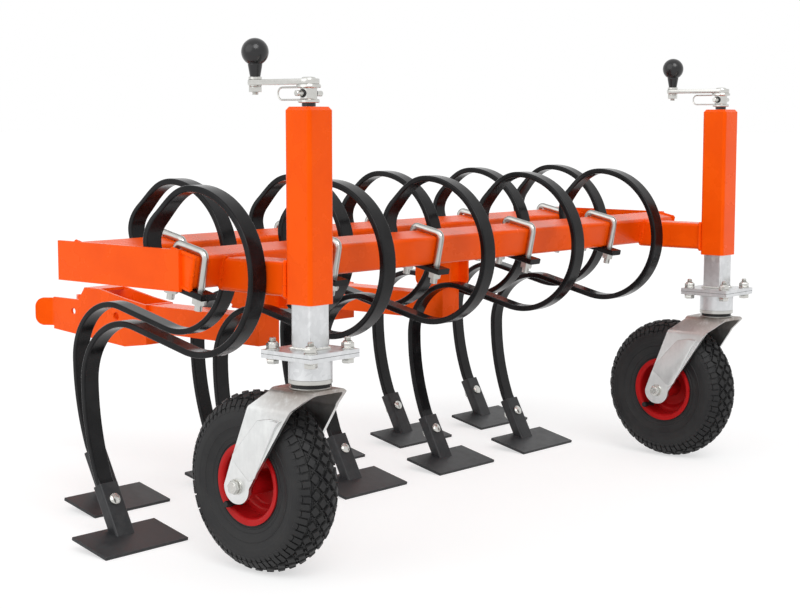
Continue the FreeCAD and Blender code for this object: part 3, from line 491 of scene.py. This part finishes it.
# The radius of a bead, in mm, and how far the middle of some beads stands off their joint.
THICK_BEAD, BEAD, TUBE_BEAD, THIN_BEAD = 3.4, 3.2, 3.0, 2.6
BEAD_OFF = 1 * MM


def frame_welds():
    """Beads where the beams meet the end plates, and the arms the front beam and the posts."""
    beads = Piece("frame_welds")
    for side, way in (("right", -1), ("left", 1)):
        inside = high(f"{side}_end_plate").y if way < 0 else low(f"{side}_end_plate").y
        for beam in ("front", "rear"):
            centre = middle(f"{beam}_beam")
            centre.y = inside - way * BEAD_OFF
            weld(beads, square(centre, BEAM_FORWARD * TUBE_HALF, BEAM_UP * TUBE_HALF), BEAD)
        arm, post = middle(f"{side}_caster_arm"), low(f"{side}_post").x
        weld(beads, square((post - BEAD_OFF, arm.y, arm.z), ACROSS * TUBE_HALF, UP * TUBE_HALF),
             THICK_BEAD)
        beam = middle("front_beam") + BEAM_FORWARD * TUBE_HALF
        top = (high(f"{side}_caster_arm").z - beam.z) / BEAM_UP.z
        centre = beam + BEAM_UP * (top - TUBE_HALF) / 2
        centre.y = arm.y
        weld(beads, square(centre, ACROSS * TUBE_HALF, BEAM_UP * (top + TUBE_HALF) / 2), THICK_BEAD)
        hitch = middle(f"{side}_hitch_arm").y
        for cheek in SIDES:
            start, end = low(f"{side}_saddle_{cheek}"), high(f"{side}_saddle_{cheek}")
            face = end.y if end.y < hitch else start.y
            weld(beads, [(start.x, face, start.z), (end.x, face, start.z)], THIN_BEAD)
    beads.fit("frame", ORANGE)


# ---------------------------------------------------------------- shoe bolts

# A bolt's place from the back and the top of its shoe, and the half thickness of the socket there.
SOCKET_LEAN = math.radians(28)
SOCKET_IN, SOCKET_DOWN = 22.5 * MM, 30 * MM
SOCKET_HALF = 10
CARRIAGE_HEAD, CARRIAGE_RISE = 10, 4.6
# Nuts are given across their flats, and washers and threads by their radius.
WASHER_HOLE, WASHER_THICK = 5.2, 2
SHOE_WASHER, SHOE_NUT, SHOE_NUT_TALL = 10.5, 16, 7.5
SHOE_THREAD, SHOE_THREAD_LOW, SHOE_THREAD_TOP = 4.8, 19, 23.5


def shoe_bolts():
    """A carriage bolt through each shoe's socket: round head in front, nut behind."""
    heads = Piece("shoe_bolts")
    forward = Vector((math.cos(SOCKET_LEAN), 0, math.sin(SOCKET_LEAN)))
    seat = SOCKET_HALF + 0.2
    nut = seat + WASHER_THICK
    for beam in ("front", "rear"):
        for track in TRACKS:
            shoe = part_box(f"{beam}_shoe_{track}")
            axis = middle(f"{beam}_shoe_{track}")
            axis.x, axis.z = shoe[0][0] + SOCKET_IN, shoe[1][2] - SOCKET_DOWN
            heads.add(dome(CARRIAGE_HEAD, CARRIAGE_RISE, SOCKET_HALF), facing(axis, forward))
            heads.add(ring(WASHER_HOLE, SHOE_WASHER, seat, nut), facing(axis, -forward))
            heads.add(hexagon(SHOE_NUT, nut, SHOE_NUT_TALL), facing(axis, -forward, 0.3 * track))
            heads.add(threaded(SHOE_THREAD, SHOE_THREAD_LOW, SHOE_THREAD_TOP), facing(axis, -forward))
    heads.fit("frame", BRIGHT)


# ---------------------------------------------------------------- casters

BOLT_PITCH = 76 * MM
FLANGE_THICK = 6 * MM
FLANGE_CORNER = 0.5
SEAM_TALL = 0.6
TUBE_ACROSS = 40 * MM
HOUSING_RADIUS = 32
FLANGE_WASHER, FLANGE_NUT, FLANGE_NUT_TALL, FLANGE_HEAD_TALL = 10, 16.5, 7.2, 6.6
SHANK, SHANK_LOW = 4.9, -12.2
# The round collar on top of a lock nut: (radius, height) above the flange.
LOCK_COLLAR = [(0, 8.8), (7.4, 8.8), (7.2, 10.6), (6.2, 11.6), (5, 11.6), (5, 11), (0, 11)]
SKIRT_INSIDE, SKIRT_DROP = 28.5, 7
FORK_WASHER_INSIDE, FORK_WASHER, FORK_WASHER_THICK = 28.2, 31, 1.8
AXLE_HOLE, AXLE_WASHER, AXLE_NUT, AXLE_HEAD_TALL, AXLE_NUT_TALL = 6, 12, 18, 7.5, 9
AXLE_THREAD, BOSS = 5.9, 6.6


def flange_bolts(side):
    """The four bolts of a caster's flanges: heads below, washers and lock nuts above."""
    bolts = Piece(f"{side}_flange_bolts")
    post = middle(f"{side}_jack_tube")
    top, bottom = high(f"{side}_upper_flange").z, low(f"{side}_upper_flange").z - FLANGE_THICK
    for step in range(4):
        turn = math.radians(45 + 90 * step)
        reach = BOLT_PITCH / math.sqrt(2)
        x, y = post.x + reach * math.cos(turn), post.y + reach * math.sin(turn)
        roll = 0.5 * step + 0.2
        above, below = facing((x, y, top), UP, roll), facing((x, y, bottom), -UP, roll)
        bolts.add(ring(WASHER_HOLE, FLANGE_WASHER, 0, WASHER_THICK), above.copy())
        bolts.add(hexagon(FLANGE_NUT, WASHER_THICK, FLANGE_NUT_TALL), above.copy())
        bolts.add(turned(LOCK_COLLAR), above.copy())
        bolts.add(threaded(SHANK, 10.5, 17.5), above.copy())
        bolts.add(ring(WASHER_HOLE, FLANGE_WASHER, 0, WASHER_THICK), below.copy())
        bolts.add(hexagon(FLANGE_NUT, WASHER_THICK, FLANGE_HEAD_TALL), below.copy())
        bolts.add(turned([(0, SHANK_LOW), (SHANK, SHANK_LOW), (SHANK, 0.5), (0, 0.5)], 20), above.copy())
    bolts.fit(f"{side}_leg", BRIGHT)


def flange_seam(side):
    """The dark line between a caster's two flange plates."""
    seam = Piece(f"{side}_flange_seam")
    plate = f"{side}_upper_flange"
    centre, half = middle(plate), (high(plate).x - low(plate).x) / 2 / MM - FLANGE_CORNER
    ends = [(x * half, y * half, FLANGE_CORNER + 0.1) for x in (-1, 1) for y in (-1, 1)]
    seam.add(slab(ends, -SEAM_TALL / 2, SEAM_TALL, 0.05),
             Matrix.Translation((centre.x, centre.y, low(plate).z)))
    seam.fit(f"{side}_leg", RUBBER)


def leg_welds(side):
    """Beads round the jack tube on its flange and round the swivel housing under its own."""
    beads = Piece(f"{side}_leg_welds")
    tube = middle(f"{side}_jack_tube")
    top = high(f"{side}_upper_flange").z
    half = TUBE_ACROSS / 2
    weld(beads, square((tube.x, tube.y, top + BEAD_OFF), Vector((half, 0, 0)), ACROSS * half),
         TUBE_BEAD)
    bottom = low(f"{side}_upper_flange").z - FLANGE_THICK
    weld(beads, circle((tube.x, tube.y, bottom - BEAD_OFF / 2), HOUSING_RADIUS * MM), THIN_BEAD)
    beads.fit(f"{side}_leg", ZINC)


def swivel_collar(side):
    """The skirt of the swivel housing, which comes down over the seal, and the washer below it."""
    collar = Piece(f"{side}_swivel_collar")
    housing = low(f"{side}_swivel_housing").z
    centre = middle(f"{side}_swivel_seal")
    collar.add(ring(SKIRT_INSIDE, HOUSING_RADIUS, -SKIRT_DROP, 0.2, 0.8, 64),
               Matrix.Translation((centre.x, centre.y, housing)))
    collar.fit(f"{side}_leg", ZINC)
    washer = Piece(f"{side}_fork_washer")
    top = low(f"{side}_swivel_seal").z
    washer.add(ring(FORK_WASHER_INSIDE, FORK_WASHER, 0.1, FORK_WASHER_THICK, 0.5, 64),
               Matrix.Translation((centre.x, centre.y, top)))
    washer.fit(f"{side}_fork_set", ZINC)


def axle_bolt(side):
    """The wheel bolt: a hexagon head on the fork's right ear, a nut and thread on its left."""
    bolt = Piece(f"{side}_axle_bolt")
    centre = middle(f"{side}_axle")
    half = (high(f"{side}_axle").y - low(f"{side}_axle").y) / 2 / MM - 2
    right = facing(centre, -ACROSS, 0.35)
    left = facing(centre, ACROSS, 0.1)
    face, boss = half + WASHER_THICK, half + 9
    bolt.add(ring(AXLE_HOLE, AXLE_WASHER, half, face), right.copy())
    bolt.add(hexagon(AXLE_NUT, face, AXLE_HEAD_TALL), right.copy())
    bolt.add(turned([(0, boss), (BOSS, boss), (BOSS - 0.4, boss + 0.9), (0, boss + 0.9)]), right.copy())
    bolt.add(ring(AXLE_HOLE, AXLE_WASHER, half, face), left.copy())
    bolt.add(hexagon(AXLE_NUT, face, AXLE_NUT_TALL), left.copy())
    bolt.add(threaded(AXLE_THREAD, half + 10, half + 17), left.copy())
    bolt.fit(f"{side}_fork_set", BRIGHT)


PANEL_CORNERS = [(-54, 240), (-30, 245), (-8, 244), (-19, 232), (-61, 152), (-72, 147), (-108, 176),
                 (-106, 184)]
PANEL_INSIDE, PANEL_THICK = 50.5, 6.2
PANEL_ROUND, PANEL_EDGE = 2.5, 1.8


def fork_panels(side):
    """The raised panel pressed into each leg of a fork, from a nose near its top to a slanted crease.

    Its corners are measured back from the kingpin and up from the ground."""
    panels = Piece(f"{side}_fork_panels")
    pin = middle(f"{side}_swivel_seal")
    for way in (-1, 1):
        shape = bmesh.new()
        verts = [shape.verts.new((pin.x + x * MM, pin.y + way * PANEL_INSIDE * MM, z * MM))
                 for x, z in PANEL_CORNERS]
        face = shape.faces.new(verts)
        made = bmesh.ops.extrude_face_region(shape, geom=[face])["geom"]
        outer = [thing for thing in made if isinstance(thing, bmesh.types.BMVert)]
        bmesh.ops.translate(shape, verts=outer, vec=ACROSS * way * PANEL_THICK * MM)
        upright = [edge for edge in shape.edges
                   if (edge.verts[0].co - edge.verts[1].co).normalized().cross(ACROSS).length < 0.01]
        bmesh.ops.bevel(shape, geom=upright, offset=PANEL_ROUND * MM, offset_type="OFFSET",
                        affect="EDGES", segments=3, profile=0.5, material=-1)
        rim = [edge for edge in shape.edges
               if all(abs(vert.co.y - pin.y) > (PANEL_INSIDE + PANEL_THICK - 0.7) * MM
                      for vert in edge.verts)]
        bmesh.ops.bevel(shape, geom=rim, offset=PANEL_EDGE * MM, offset_type="OFFSET",
                        affect="EDGES", segments=3, profile=0.5, material=-1)
        panels.add(shape)
    panels.fit(f"{side}_fork_set", frame["nodes"][f"{side}_fork"].data.materials[0])


# ---------------------------------------------------------------- tyres

# A section of the tyre, in mm: a crown arc, then a shoulder arc down to the side wall.
WHEEL = 136
CROWN, SHOULDER = 44.5, 35.5
CROWN_TURN = math.radians(30)
SIDE_TURN = math.radians(105)
SIDE_FOOT = (60.5, 31)
BEAD_EDGE = [(56.5, 29.5), (56, 27)]
TREAD_DEEP = 4.2
BLOCKS_AROUND = 34
ROW_STEP = math.radians(14.5)
BLOCK_EDGE, BLOCK_TAPER = 0.35 * MM, 0.84
# Blocks and bars as (round, across, deep), in mm.
DIAMOND = (18.0, 15.0, TREAD_DEEP + 0.6)
ZIGZAG = (8.5, 2.0, TREAD_DEEP * 0.7)
LUG, SLOT = (8.6, 12.0, 3.6), (7.6, 8.0, 2.8)
# Rings moulded on the side wall: how far down it, and how proud.
SIDE_RINGS = ((0.10, 0), (0.13, 0.8), (0.16, 0), (0.55, 0), (0.58, 0.7), (0.61, 0),
              (0.76, 0), (0.79, 1.0), (0.83, 1.0), (0.86, 0), (1.0, 0))


def tyre_point(turn, sunk):
    """(radius, sideways) on a tyre's outside where its face has turned from the crown."""
    way, turn = math.copysign(1, turn), abs(turn)
    centre = Vector((WHEEL - CROWN, 0))
    bend = CROWN
    if turn > CROWN_TURN:
        centre += Vector((math.cos(CROWN_TURN), math.sin(CROWN_TURN))) * (CROWN - SHOULDER)
        bend = SHOULDER
    place = centre + Vector((math.cos(turn), math.sin(turn))) * (bend - sunk)
    return place.x, way * place.y


def sunk_at(turn):
    """How far the carcass lies below the tread's blocks and the lugs of the shoulder."""
    turn = abs(turn)
    if turn < math.radians(40):
        return TREAD_DEEP
    if turn < math.radians(64):
        return TREAD_DEEP - 1.4
    if turn < math.radians(70):
        return 1.6
    return 0.9 if turn < math.radians(94) else 1.5


def carcass():
    """The body of the tyre: its section turned about Z, with mould rings on the side walls."""
    half = [tyre_point(turn, sunk_at(turn))
            for turn in (SIDE_TURN * step / 42 for step in range(43))]
    low_r, low_y = half[-1]
    foot_r, foot_y = SIDE_FOOT
    half += [(low_r + (foot_r - low_r) * share, low_y + (foot_y - low_y) * share + rise)
             for share, rise in SIDE_RINGS]
    half += BEAD_EDGE
    outline = [(radius, -side) for radius, side in reversed(half)] + half[1:]
    return turned(outline + outline[:1], 120)


def block(long, wide, tall):
    """A tread block that stands along Z, narrower at its top."""
    shape = bmesh.new()
    bmesh.ops.create_cone(shape, cap_ends=True, segments=4, radius1=1, radius2=BLOCK_TAPER,
                          depth=1)
    shape.transform(Matrix.Diagonal((long / 2 * MM, wide / 2 * MM, tall * MM, 1)))
    bmesh.ops.bevel(shape, geom=shape.edges[:], offset=BLOCK_EDGE, offset_type="OFFSET",
                    affect="EDGES", segments=1, profile=0.5, material=-1)
    return shape


def bar(long, wide, tall):
    """A straight tread bar with broken edges."""
    shape = bmesh.new()
    bmesh.ops.create_cube(shape, size=1)
    shape.transform(Matrix.Diagonal((long * MM, wide * MM, tall * MM, 1)))
    bmesh.ops.bevel(shape, geom=shape.edges[:], offset=BLOCK_EDGE, offset_type="OFFSET",
                    affect="EDGES", segments=1, profile=0.5, material=-1)
    return shape


def on_tyre(round_turn, side_turn, sunk, roll=0.0):
    """The place on a tyre about Z: local X runs round it, Y across it and Z outwards."""
    radius, side = tyre_point(side_turn, sunk)
    stand = Matrix(((0, -math.sin(side_turn), math.cos(side_turn), radius * MM), (1, 0, 0, 0),
                    (0, math.cos(side_turn), math.sin(side_turn), side * MM), (0, 0, 0, 1)))
    return Matrix.Rotation(round_turn, 4, "Z") @ stand @ Matrix.Rotation(roll, 4, "Z")


def tyre(side):
    """A pneumatic tyre: rows of staggered diamond blocks, zig-zag bars, and slotted shoulders."""
    made = Piece(f"{side}_tyre_with_tread")
    made.add(carcass())
    pitch = 2 * math.pi / BLOCKS_AROUND
    diamonds, links, ribs = [], [], []
    for row in range(-2, 3):
        for step in range(BLOCKS_AROUND):
            turn = pitch * (step + 0.5 * (row % 2))
            side_turn = row * ROW_STEP
            diamonds.append(on_tyre(turn, side_turn, TREAD_DEEP / 2))
            links.append(on_tyre(turn + pitch / 2, side_turn, TREAD_DEEP * 0.85, math.pi / 4))
            ribs.append(on_tyre(turn + pitch / 2, side_turn, TREAD_DEEP * 0.85, -math.pi / 4))
    made.repeat(block(*DIAMOND), diamonds)
    made.repeat(bar(*ZIGZAG), links)
    made.repeat(bar(*ZIGZAG), ribs)
    lugs, slots = [], []
    for way in (-1, 1):
        for step in range(2 * BLOCKS_AROUND):
            turn = pitch * (step + 0.5) / 2
            lugs.append(on_tyre(turn, way * math.radians(50 + 3 * (step % 2)), 2.0))
            slots.append(on_tyre(turn, way * math.radians(68), 2.0))
    made.repeat(bar(*LUG), lugs)
    made.repeat(bar(*SLOT), slots)
    made.mesh.transform(facing(middle(f"{side}_axle"), ACROSS))
    made.fit(f"{side}_wheel", RUBBER, [f"{side}_tyre"])


# The foot of a valve, from the middle of its axle, and the way that it points.
VALVE_FOOT = Vector((-39, -12, -37)) * MM
VALVE_LEAN = Vector((0.10, -1, 0.10)).normalized()
VALVE_OUTLINE = [(0, 0), (7.5, 0), (7.2, 3), (4.8, 6), (4.0, 14), (3.9, 20), (5.0, 20.4), (5.0, 31),
                 (4.2, 32.5), (0, 32.6)]


def valve(side):
    """The rubber valve stem with its cap, out of the rim behind and below the axle."""
    stem = Piece(f"{side}_valve")
    stem.add(turned(VALVE_OUTLINE, 24), facing(middle(f"{side}_axle") + VALVE_FOOT, VALVE_LEAN))
    stem.fit(f"{side}_wheel", RUBBER)


# ---------------------------------------------------------------- cranks

LEVER_REACH, LEVER_EYE, LEVER_TIP = 108, 15.5, 11
LEVER_LOW, LEVER_THICK, LEVER_EDGE = 31.3, 8, 1.2
LEVER_TOP = LEVER_LOW + LEVER_THICK
CROSS_PIN_HEIGHT = 18.6
SPINDLE_LONG = 222
LOOP_TALL, LOOP_WIDE, LOOP_WIRE, LOOP_BEND = 42, 17.5, 2.6, 8


def crank(side):
    """The lever, its sleeve with two collars, the spindle and the cross pin with its wire loop."""
    post_top = high(f"{side}_post").z
    centre = middle(f"{side}_jack_tube")
    seat = Matrix.Translation((centre.x, centre.y, post_top))
    metal = Piece(f"{side}_crank_lever")
    metal.add(turned([(0, -SPINDLE_LONG), (8, -SPINDLE_LONG), (8, 5.3), (14.5, 5.3), (15.5, 6.1),
                      (15.5, 9.5), (14.5, 10.3), (12.6, 10.6), (12, 11.3), (12, 25.4), (12.6, 26),
                      (16.6, 26.3), (17.4, 27.2), (17.4, 30), (16.4, LEVER_LOW), (0, LEVER_LOW)], 48),
              seat.copy())
    metal.add(slab([(-LEVER_REACH, 0, LEVER_TIP), (0, 0, LEVER_EYE)], LEVER_LOW, LEVER_THICK,
                   LEVER_EDGE), seat.copy())
    metal.add(turned([(0, 39), (10.5, 39), (10.2, 40), (8.8, 41.2), (6, 41.8), (0, 42)], 40),
              seat.copy())
    pin = seat @ Matrix.Translation((0, 0, CROSS_PIN_HEIGHT * MM))
    metal.add(turned([(0, -26), (3.3, -26), (4, -25.2), (4, 25.2), (3.3, 26), (0, 26)], 24),
              pin @ Matrix.Rotation(math.pi / 2, 4, "X"))
    loop = bent_wire(LOOP_WIRE, [(LOOP_TALL, LOOP_BEND, 90), (LOOP_WIDE - 2 * LOOP_BEND, LOOP_BEND, 90),
                                 (LOOP_TALL, 0, 0)])
    metal.add(loop, pin @ Matrix.Translation((-11 * MM, 0, -LOOP_WIDE / 2 * MM))
              @ Matrix.Rotation(-math.pi / 2, 4, "Y"))
    tip = seat @ Matrix.Translation((-LEVER_REACH * MM, 0, 0))
    metal.add(hexagon(16, 21.4, 8), tip @ Matrix.Rotation(0.25, 4, "Z"))
    metal.add(ring(4, 9.4, LEVER_LOW - 2, LEVER_LOW), tip.copy())
    metal.add(threaded(4.6, 17.5, 22.5), tip.copy())
    metal.add(ring(2, 9.7, LEVER_TOP, 43.6, 0.6), tip.copy())
    metal.fit(f"{side}_crank_set", BRIGHT, [f"{side}_crank"])
    dark = Piece(f"{side}_crank_bush")
    dark.add(ring(8.1, 10, 0.3, 5.2, 0.3), seat.copy())
    for way in (-1, 1):
        dark.add(ring(4.1, 6.2, 10.6, 12.6, 0.3, 24), pin @ Matrix.Rotation(way * math.pi / 2, 4, "X"))
    dark.fit(f"{side}_crank_set", PLASTIC)


frame_welds()
shoe_bolts()
for side in SIDES:
    flange_bolts(side)
    flange_seam(side)
    leg_welds(side)
    swivel_collar(side)
    axle_bolt(side)
    fork_panels(side)
    tyre(side)
    valve(side)
    crank(side)


# ---------------------------------------------------------------- studio

# The world's light; the white that eyes and mirrors see in the floor, and its share there.
SKY = 0.74
FLOOR_WHITE = 1.36
FLOOR_SHARE = 0.44
# Each lamp shines from this way, with this strength and this spread in degrees.
KEY_LAMP = ((2.2, -1.5, 2.6), 1.25, 36)
FILL_LAMP = ((-0.6, -3.0, 1.4), 0.75, 60)
CAMERA_PLACE = (2.1086, -2.2409, 0.6727)
CAMERA_ROUND, CAMERA_DOWN = math.radians(41.1), math.radians(6.48)
SENSOR, LENS = 36.0, 74.075


def white_to_rays(tree, surface, strength, share):
    """Mixes a share of plain white into a surface for rays from the eye, a mirror or a glass."""
    rays = tree.nodes.new("ShaderNodeLightPath")
    kind = "ShaderNodeBackground" if surface.name == "Background" else "ShaderNodeEmission"
    white = tree.nodes.new(kind)
    white.inputs["Strength"].default_value = strength
    white.inputs["Color"].default_value = rgb(1, 1, 1)
    seen = rays.outputs["Is Camera Ray"]
    for other in ("Is Glossy Ray", "Is Transmission Ray"):
        either = tree.nodes.new("ShaderNodeMath")
        either.operation = "MAXIMUM"
        tree.links.new(seen, either.inputs[0])
        tree.links.new(rays.outputs[other], either.inputs[1])
        seen = either.outputs[0]
    part = tree.nodes.new("ShaderNodeMath")
    part.operation = "MULTIPLY"
    tree.links.new(seen, part.inputs[0])
    part.inputs[1].default_value = share
    blend = tree.nodes.new("ShaderNodeMixShader")
    tree.links.new(part.outputs[0], blend.inputs[0])
    tree.links.new(surface, blend.inputs[1])
    tree.links.new(white.outputs[0], blend.inputs[2])
    return blend.outputs[0]


def studio():
    """A white floor that keeps a soft shadow, a white surround, and wide soft lamps."""
    bm = bmesh.new()
    bmesh.ops.create_grid(bm, x_segments=1, y_segments=1, size=60)
    mesh = bpy.data.meshes.new("floor")
    bm.to_mesh(mesh)
    bm.free()
    floor = bpy.data.objects.new("floor", mesh)
    bpy.context.collection.objects.link(floor)
    made = Finish("white_floor")
    made.set(base_color=rgb(0.86, 0.86, 0.86), roughness=0.9, specular_ior_level=0.0)
    output = made.tree.nodes["Material Output"]
    seen = white_to_rays(made.tree, made.shader.outputs[0], FLOOR_WHITE, FLOOR_SHARE)
    made.tree.links.new(seen, output.inputs["Surface"])
    floor.data.materials.append(made.material)

    world = bpy.data.worlds.new("studio_sky")
    bpy.context.scene.world = world
    world.use_nodes = True
    tree = world.node_tree
    tree.nodes.clear()
    sky = tree.nodes.new("ShaderNodeBackground")
    sky.inputs["Strength"].default_value = SKY
    output = tree.nodes.new("ShaderNodeOutputWorld")
    tree.links.new(white_to_rays(tree, sky.outputs[0], 1.0, 1.0), output.inputs["Surface"])

    def lamp(name, place, strength, spread):
        data = bpy.data.lights.new(name, "SUN")
        data.energy, data.angle = strength, math.radians(spread)
        thing = bpy.data.objects.new(name, data)
        thing.rotation_euler = (-Vector(place)).to_track_quat("-Z", "Y").to_euler()
        bpy.context.collection.objects.link(thing)

    lamp("key_lamp", *KEY_LAMP)
    lamp("fill_lamp", *FILL_LAMP)


def camera():
    """Looks at the harrow's front right corner from chest height."""
    data = bpy.data.cameras.new("camera")
    data.sensor_width, data.lens = SENSOR, LENS
    data.clip_end = 100
    thing = bpy.data.objects.new("camera", data)
    thing.location = CAMERA_PLACE
    thing.rotation_euler = (math.pi / 2 - CAMERA_DOWN, 0, CAMERA_ROUND)
    bpy.context.collection.objects.link(thing)
    bpy.context.scene.camera = thing


studio()
camera()
bpy.context.scene.view_settings.view_transform = "Standard"
